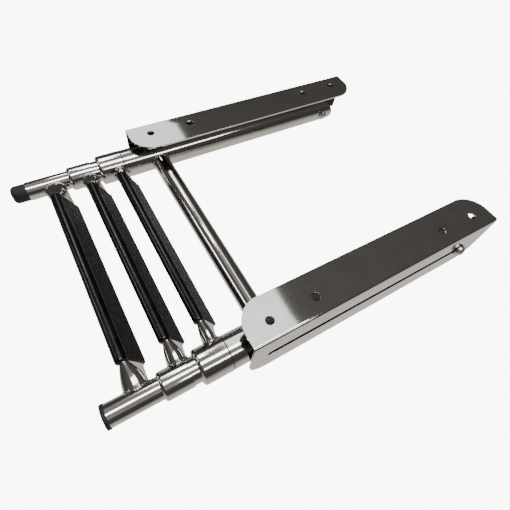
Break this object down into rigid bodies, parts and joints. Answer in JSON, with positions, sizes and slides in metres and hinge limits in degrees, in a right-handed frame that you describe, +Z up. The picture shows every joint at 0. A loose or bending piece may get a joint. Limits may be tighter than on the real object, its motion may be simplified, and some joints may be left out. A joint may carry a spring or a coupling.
{
  "type": "boat boarding ladder",
  "caption": "Under-platform boarding ladder: two slotted steel rails hold a frame that slides out, swings down and telescopes on round legs with black treads.",
  "frame": {"origin": "centre of the eight-hole bolt pattern, on the top faces of the rails", "axes": "+X towards the right rail, +Y inboard (away from the stowed legs), +Z up towards the platform that the rails bolt to"},
  "size_m": [0.3882, 0.5579, 0.084],
  "materials": {
    "polished_steel": "polished stainless steel",
    "tread_plastic": "ribbed black moulded plastic",
    "guide_plastic": "smooth black nylon",
    "foot_rubber": "matte black rubber"
  },
  "bodies": {
    "rails": {"left_rail": "polished_steel", "right_rail": "polished_steel", "left_stop_block": "foot_rubber", "right_stop_block": "foot_rubber"},
    "carriage": {"left_pivot_bolt": "polished_steel", "right_pivot_bolt": "polished_steel", "left_slide_bush": "guide_plastic", "right_slide_bush": "guide_plastic", "left_pivot_nut": "polished_steel", "right_pivot_nut": "polished_steel", "pivot_washers": "polished_steel"},
    "upper_section": {"left_upper_tube": "polished_steel", "right_upper_tube": "polished_steel", "left_pivot_sleeve": "polished_steel", "right_pivot_sleeve": "polished_steel", "crossbar": "polished_steel", "left_upper_guide": "guide_plastic", "right_upper_guide": "guide_plastic"},
    "second_section": {"left_second_tube": "polished_steel", "right_second_tube": "polished_steel", "left_second_collar": "polished_steel", "right_second_collar": "polished_steel", "left_second_guide": "guide_plastic", "right_second_guide": "guide_plastic", "left_second_glide": "guide_plastic", "right_second_glide": "guide_plastic", "upper_rung": "polished_steel", "upper_tread": "tread_plastic"},
    "third_section": {"left_third_tube": "polished_steel", "right_third_tube": "polished_steel", "left_third_collar": "polished_steel", "right_third_collar": "polished_steel", "left_third_guide": "guide_plastic", "right_third_guide": "guide_plastic", "left_third_glide": "guide_plastic", "right_third_glide": "guide_plastic", "middle_rung": "polished_steel", "middle_tread": "tread_plastic"},
    "legs": {"left_leg_tube": "polished_steel", "right_leg_tube": "polished_steel", "left_leg_glide": "guide_plastic", "right_leg_glide": "guide_plastic", "lower_rung": "polished_steel", "lower_tread": "tread_plastic", "left_foot": "foot_rubber", "right_foot_plug": "foot_rubber"}
  },
  "joints": [
    {"name": "rail_slide", "type": "slide", "parent": "rails", "child": "carriage", "axis": [0, -1, 0], "range_m": [0, 0.312]},
    {"name": "fold_down", "type": "hinge", "parent": "carriage", "child": "upper_section", "pos_m": [0, 0.1435, -0.0395], "axis": [1, 0, 0], "range_deg": [0, 90]},
    {"name": "second_extend", "type": "slide", "parent": "upper_section", "child": "second_section", "axis": [0, -1, 0], "range_m": [0, 0.245]},
    {"name": "third_extend", "type": "slide", "parent": "second_section", "child": "third_section", "axis": [0, -1, 0], "range_m": [0, 0.245]},
    {"name": "leg_extend", "type": "slide", "parent": "third_section", "child": "legs", "axis": [0, -1, 0], "range_m": [0, 0.245]}
  ]
}
